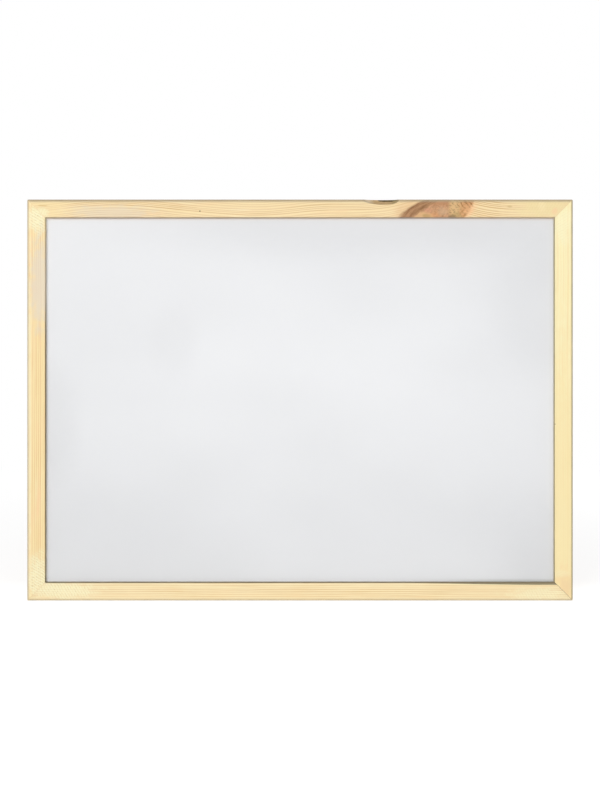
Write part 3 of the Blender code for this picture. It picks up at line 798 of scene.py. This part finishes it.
def seen_white(start, dim, bright):
    """The bright shader for camera, mirror and glass rays, and the dim one for the light itself."""
    kinds = ("Camera", "Glossy", "Transmission")
    rays = [start.node("LightPath", output=f"Is {kind} Ray") for kind in kinds]
    seen = rays[0].maths("MAXIMUM", rays[1]).maths("MAXIMUM", rays[2])
    return seen.node("MixShader", None, {0: seen, 1: dim, 2: bright})


world = bpy.data.worlds.new("studio")
bpy.context.scene.world = world
world.use_nodes = True
world.node_tree.nodes.clear()
start = Layer(world.node_tree)
dim = start.node("Background", None, {"Color": WHITE, "Strength": WORLD_LEVEL})
bright = start.node("Background", None, {"Color": WHITE, "Strength": 1.0})
start.node("OutputWorld", None, {"Surface": seen_white(start, dim, bright)})

floor_mesh = bpy.data.meshes.new("floor")
corners = [(x * FLOOR_HALF, y * FLOOR_HALF, 0.0) for x, y in ((-1, -1), (1, -1), (1, 1), (-1, 1))]
floor_mesh.from_pydata(corners, [], [(0, 1, 2, 3)])
floor = bpy.data.objects.new("floor", floor_mesh)
bpy.context.scene.collection.objects.link(floor)
paper = bpy.data.materials.new("floor_paper")
paper.use_nodes = True
paper.node_tree.nodes.clear()
start = Layer(paper.node_tree)
matt = start.node("BsdfDiffuse", None, {"Color": grey(FLOOR_ALBEDO)})
place = start.node("TexCoord", output="Object")
away = place.node("VectorMath", {"operation": "LENGTH"}, {0: place}, "Value")
behind = ease(place.node("SeparateXYZ", None, {0: place}, 1), *FLOOR_BEHIND)
glow = blend(grey(FLOOR_GLOW_FRONT), grey(FLOOR_GLOW_BEHIND), behind)
glow = start.node("Emission", None, {"Color": glow, "Strength": 1.0})
shaded = start.node("BsdfDiffuse", None, {"Color": WHITE})
shaded = start.node("AddShader", None, {0: shaded, 1: glow})
blank = start.node("Emission", None, {"Color": WHITE, "Strength": 1.0})
shown = start.node("MixShader", None, {0: ease(away, *FLOOR_FADE), 1: shaded, 2: blank})
start.node("OutputMaterial", None, {"Surface": seen_white(start, matt, shown)})
floor_mesh.materials.append(paper)

# Five soft lamps, none of them seen by the camera, light the board: a wide one low on the left, as in the
# photograph, three dimmer ones that give the lacquer its blurred shine, and one for the back. Each has a
# place, a width and height, and its watts.
AIM = Vector((0.0, 0.0, BOARD_HEIGHT / 2000))
LAMPS = [
    ("key", (-1.7, -5.8, 0.35), (1.7, 1.2), 60.0),
    ("middle", (0.0, -2.7, 0.35), (0.9, 0.8), 17.0),
    ("right", (0.75, -2.7, 0.3), (0.9, 0.8), 14.5),
    ("corner", (-1.2, -2.7, 1.1), (0.7, 0.6), 13.5),
    ("back", (1.3, 4.6, 2.0), (2.0, 1.6), 90.0),
]
for name, place, size, watts in LAMPS:
    lamp = bpy.data.lights.new(name, "AREA")
    lamp.shape = "RECTANGLE"
    lamp.size, lamp.size_y = size
    lamp.energy = watts
    stand = bpy.data.objects.new(name, lamp)
    stand.location = place
    stand.visible_camera = False
    stand.rotation_euler = (AIM - Vector(place)).to_track_quat("-Z", "Y").to_euler()
    bpy.context.scene.collection.objects.link(stand)

# The camera looks square at the middle of the board from a metre in front of it. Its lens gives 910 pixels
# to a metre at the rails' front faces, as in the photograph.
CAMERA_AWAY = 1.0
PIXELS_PER_METRE = 910.2
LONG_SIDE_PIXELS = 800
SENSOR_WIDTH = 36.0
camera = bpy.data.cameras.new("camera")
camera.sensor_width = SENSOR_WIDTH
camera.lens = PIXELS_PER_METRE * CAMERA_AWAY * SENSOR_WIDTH / LONG_SIDE_PIXELS
viewer = bpy.data.objects.new("camera", camera)
viewer.location = (0.0, -RAIL_DEPTH / 2000 - CAMERA_AWAY, BOARD_HEIGHT / 2000)
viewer.rotation_euler = (math.radians(90), 0.0, 0.0)
bpy.context.scene.collection.objects.link(viewer)
bpy.context.scene.camera = viewer
bpy.context.scene.view_settings.view_transform = "Standard"
